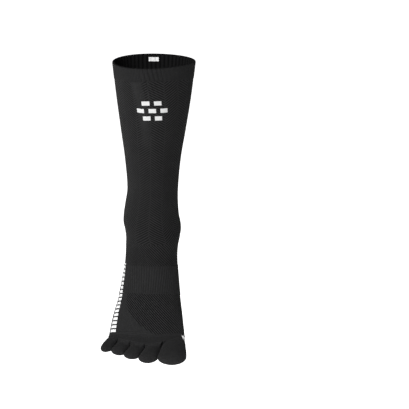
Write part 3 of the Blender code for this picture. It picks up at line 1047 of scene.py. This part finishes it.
def chevrons(f):
    from_peak = f.add(f.wale, -PEAK_WALE)
    rise = f.times(f.maths("PINGPONG", from_peak, CHEVRON_WALES), -CHEVRON_RISE / CHEVRON_WALES)
    column = f.maths("FLOOR", f.times(from_peak, 1 / CHEVRON_WALES))
    half_steps = f.times(f.maths("FLOORED_MODULO", column, 2.0), 0.5)
    stripes = f.wave(f.add(f.times(f.course, COURSE / CHEVRON_PERIOD), rise, half_steps))
    leaning = f.times(f.course, CREASE_SLANT * COURSE)
    crease = f.add(f.wale, leaning, -CREASE_WALE - CREASE_SLANT * CUFF_HEIGHT)
    away = f.step(f.maths("ABSOLUTE", crease), CREASE_CORE, CREASE_EDGE)
    below = f.step(f.course, *CREASE_STITCHES)
    # The stripes fade where the knit is stretched over the shin, and the strip turns paler there: a
    # painted highlight on the crease.
    crease_highlight = f.times(f.maths("SUBTRACT", 1.0, away), f.maths("SUBTRACT", 1.0, below))
    from_border = f.maths("PINGPONG", from_peak, CHEVRON_WALES / 2)
    border = f.between(f.step(from_border, BORDER_CORE, BORDER_EDGE), BORDER_LEVEL, 0.0)
    return f.between(crease_highlight, f.maths("MAXIMUM", stripes, border), CREASE_HIGHLIGHT_LEVEL)


def fine_ribs(f):
    return f.wave(f.wale)


def band_ribs(f):
    return f.wave(f.times(f.wale, 1 / BAND_RIB_WALES))


def diamonds(f):
    across, down = f.times(f.wale, 1 / MESH_WALES), f.times(f.course, COURSE / MESH_RISE)
    one, other = f.wave(f.add(across, down)), f.wave(f.maths("SUBTRACT", across, down))
    mesh = f.step(f.between(MESH_LESSER, one, other), MESH_DARK, MESH_PALE)
    from_front = f.maths("ABSOLUTE", f.add(f.wale, -FRONT_WALE))
    away = f.step(from_front, MESH_HALF_WIDTH, MESH_HALF_WIDTH + MESH_SOFT)
    return f.between(away, mesh, NO_MESH_LEVEL)


def slanted_panel(f):
    slant = f.wave(f.add(f.times(f.wale, 1 / SLANT_WALES), f.times(f.course, COURSE / SLANT_RISE)))
    start, end = FOREFOOT_START / COURSE, FOREFOOT_END / COURSE
    share = f.maths("MAXIMUM", f.times(f.add(f.course, -start), 1 / (end - start)), 0.0)
    edge = f.maths("MULTIPLY_ADD", f.maths("POWER", share, PANEL_POWER), -PANEL_CURVE, PANEL_OUTER)
    outside = f.step(f.maths("SUBTRACT", f.wale, edge), -0.5, 0.5)
    inside = f.step(f.wale, PANEL_INNER - PANEL_SOFT_INNER, PANEL_INNER + PANEL_SOFT_INNER)
    last = f.step(f.course, end - PANEL_STOP[0] / COURSE, end - PANEL_STOP[1] / COURSE)
    panel = f.times(f.maths("SUBTRACT", 1.0, outside), inside, f.maths("SUBTRACT", 1.0, last))
    ribs = f.between(f.step(slant, SLANT_DARK, SLANT_PALE), *PANEL_LEVELS)
    return f.between(panel, PLAIN_LEVEL, ribs)


def lining_ribs(f):
    return f.maths("ABSOLUTE", f.maths("COSINE", f.times(f.wale, math.pi / LINING_RIB_WALES)))


print("mesh and panel repeat every", MESH_RISE, "and", SLANT_RISE, "m down the foot")

# %% [markdown]
# ## Marks in paler yarn
# Sport socks carry small marks that are knitted in with a second yarn. Ours
# are plain dashes. A decal plane would float over the knit, so each mark is a
# rule on the wale and course numbers, and whole stitches change their yarn.
# The numbers say at which stitch a mark starts and how many stitches it has.

# %% Rules for the marks
CALF_MARK_WALE, CALF_MARK_COURSE = 78, 38
DASH_WALES, DASH_PITCH = 5, 8
DASH_COURSES, ROW_PITCH = 5, 9
RIBBON_WALE, RIBBON_WALES = 115, 7
RIBBON_DASH, RIBBON_PITCH = 4, 6
LOOP_HALF_WALES, LOOP_COURSES = 3.5, (4, 9)
TOE_DASH_WALES, TOE_DASH_COURSES = (14, 18), 8


def within(f, value, low, high):
    """1 from low up to, but without, high."""
    return f.times(f.maths("GREATER_THAN", value, low - 0.5), f.maths("LESS_THAN", value, high - 0.5))


def calf_dashes(f):
    """Three rows of dashes, laid like bricks."""
    course = f.add(f.maths("FLOOR", f.course), -CALF_MARK_COURSE)
    odd = f.maths("FLOORED_MODULO", f.maths("FLOOR", f.times(course, 1 / ROW_PITCH)), 2.0)
    wale = f.add(f.maths("FLOOR", f.wale), -CALF_MARK_WALE, f.times(odd, DASH_PITCH // 2))
    row = within(f, f.maths("FLOORED_MODULO", course, ROW_PITCH), 0, DASH_COURSES)
    dash = within(f, f.maths("FLOORED_MODULO", wale, DASH_PITCH), 0, DASH_WALES)
    row_end = f.maths("MULTIPLY_ADD", odd, DASH_PITCH, DASH_PITCH + DASH_WALES - 0.5)
    across = f.times(f.maths("GREATER_THAN", wale, -0.5), f.maths("LESS_THAN", wale, row_end))
    return f.times(row, dash, across, within(f, course, 0, 3 * ROW_PITCH))


def edge_ribbon(f):
    """A ladder of short dashes along the outer edge of the foot."""
    wale, course = f.maths("FLOOR", f.wale), f.maths("FLOOR", f.course)
    rung = within(f, f.maths("FLOORED_MODULO", course, RIBBON_PITCH), 0, RIBBON_DASH)
    before_toes = within(f, course, 0, FOREFOOT_END / COURSE - RIBBON_DASH)
    return f.times(rung, within(f, wale, RIBBON_WALE, RIBBON_WALE + RIBBON_WALES), before_toes)


def back_loop(f):
    """A bar inside the back of the cuff, where wale 0 is."""
    from_back = f.maths("PINGPONG", f.wale, WALES / 2)
    return f.times(f.maths("LESS_THAN", from_back, LOOP_HALF_WALES), within(f, f.course, *LOOP_COURSES))


def toe_dash(f):
    start = TOE_START_RUN / COURSE + 1
    wale, course = f.maths("FLOOR", f.wale), f.maths("FLOOR", f.course)
    return f.times(within(f, wale, *TOE_DASH_WALES), within(f, course, start, start + TOE_DASH_COURSES))


print("calf mark starts", CALF_MARK_COURSE, "courses under the rim")

# %% [markdown]
# ## One yarn for each zone
# All zones are knitted from the same black yarn, and only the stitches and
# the stretch make one zone look lighter than the next. One shared material
# would be shorter to write, but each zone needs its own pattern, so a table
# gives every zone its pattern, the depth of it, and how light the yarn is.
# The linings inside get much darker yarn, as painted shade of the inside.

# %% Mix the finishes
FINISHES = {
    "cuff": yarn_finish("cuff_yarn", fine_ribs, 0.20, 0.86, shine=0.82),
    "leg_tube": yarn_finish("leg_yarn", chevrons, 1.0, 0.82, [(calf_dashes, GREY_YARN)], 0.85),
    "heel_pocket": yarn_finish("heel_yarn", diamonds, 1.0, 0.90),
    "arch_band": yarn_finish("band_yarn", band_ribs, 0.20, 1.12, [(edge_ribbon, WHITE_YARN)]),
    "forefoot": yarn_finish("forefoot_yarn", slanted_panel, 1.0, 1.02, [(edge_ribbon, WHITE_YARN)]),
    "big_toe": yarn_finish("big_toe_yarn", None, 0.0, 1.08, [(toe_dash, WHITE_YARN)]),
    "toes": yarn_finish("toe_yarn", None, 0.0, 1.08),
}
# The two linings get darker yarn, light 0.4 and 0.28: painted shade of the sock's dark inside.
SHADED_LINING = yarn_finish("shaded_lining_yarn", None, 0.0, 0.4, shine=0.3)
SHADED_CUFF_LINING = yarn_finish("cuff_lining_yarn", lining_ribs, 0.85, 0.28, [(back_loop, WHITE_YARN)], 0.35)
print(len(FINISHES) + 2, "finishes")

# %% [markdown]
# ## Dress the frame
# Each knitted piece takes the place of its CAD piece, rides on the same body
# and takes its zone's finish and a lining finish. We could parent the pieces
# by hand; here one call does it for each piece.

# %% Put the pieces on the frame
for node, piece in PIECES.items():
    piece.data.materials.append(FINISHES.get(node, FINISHES["toes"]))
    piece.data.materials.append(SHADED_CUFF_LINING if node == "cuff" else SHADED_LINING)
    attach(piece, "root")
    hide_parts(node)
print(len(PIECES), "pieces dressed")

# %% [markdown]
# ## Floor and light
# The sock hangs over a plain white floor, as in a catalogue picture. A big
# soft lamp stands at the front left, and a pale world fills in the rest. Hard
# sun light would hide the ribs in black shadows.

# %% Floor
FLOOR_DROP = 0.12
FLOOR_HALF = 30.0
PAPER_WHITE = 0.9
floor_z = CAD_BOX[0].z - FLOOR_DROP
floor_mesh = bpy.data.meshes.new("floor")
signs = ((-1, -1), (1, -1), (1, 1), (-1, 1))
floor_corners = [(x * FLOOR_HALF, y * FLOOR_HALF, floor_z) for x, y in signs]
floor_mesh.from_pydata(floor_corners, [], [(0, 1, 2, 3)])
floor = bpy.data.objects.new("floor", floor_mesh)
paper = bpy.data.materials.new("paper")
paper.use_nodes = True
paper_shader = paper.node_tree.nodes["Principled BSDF"]
paper_shader.inputs["Base Color"].default_value = (PAPER_WHITE, PAPER_WHITE, PAPER_WHITE, 1.0)
paper_shader.inputs["Roughness"].default_value = 1.0
paper_shader.inputs["Emission Color"].default_value = (1.0, 1.0, 1.0, 1.0)
paper_shader.inputs["Emission Strength"].default_value = 1.0
floor_mesh.materials.append(paper)
bpy.context.scene.collection.objects.link(floor)
print("floor at", round(floor_z * 1000), "mm")

# %% Lamp and world
LAMP_PLACE = Vector((-0.72, -1.55, 0.9))
LAMP_AIM = Vector((0.0, 0.0, -0.17))
LAMP_SIZE, LAMP_POWER = 1.2, 70.0
WORLD_HORIZON, WORLD_ZENITH = 0.25, 0.03
HORIZON_UP, ZENITH_UP = 0.1, 1.0

lamp_data = bpy.data.lights.new("key", "AREA")
lamp_data.shape = "DISK"
lamp_data.size = LAMP_SIZE
lamp_data.energy = LAMP_POWER
lamp = bpy.data.objects.new("key", lamp_data)
lamp.location = LAMP_PLACE
lamp.rotation_euler = (LAMP_AIM - LAMP_PLACE).to_track_quat("-Z", "Y").to_euler()
bpy.context.scene.collection.objects.link(lamp)

world = bpy.data.worlds.new("studio")
world.use_nodes = True
bpy.context.scene.world = world
sky = world.node_tree
direction = sky.nodes.new("ShaderNodeTexCoord").outputs["Generated"]
split = sky.nodes.new("ShaderNodeSeparateXYZ")
sky.links.new(direction, split.inputs[0])
fade = sky.nodes.new("ShaderNodeMapRange")
sky.links.new(split.outputs[2], fade.inputs[0])
for socket, value in zip(fade.inputs[1:5], (HORIZON_UP, ZENITH_UP, WORLD_HORIZON, WORLD_ZENITH)):
    socket.default_value = value
sky.links.new(fade.outputs[0], sky.nodes["Background"].inputs["Strength"])
sky.nodes["Background"].inputs["Color"].default_value = (1.0, 1.0, 1.0, 1.0)
bpy.context.scene.view_settings.view_transform = "Standard"
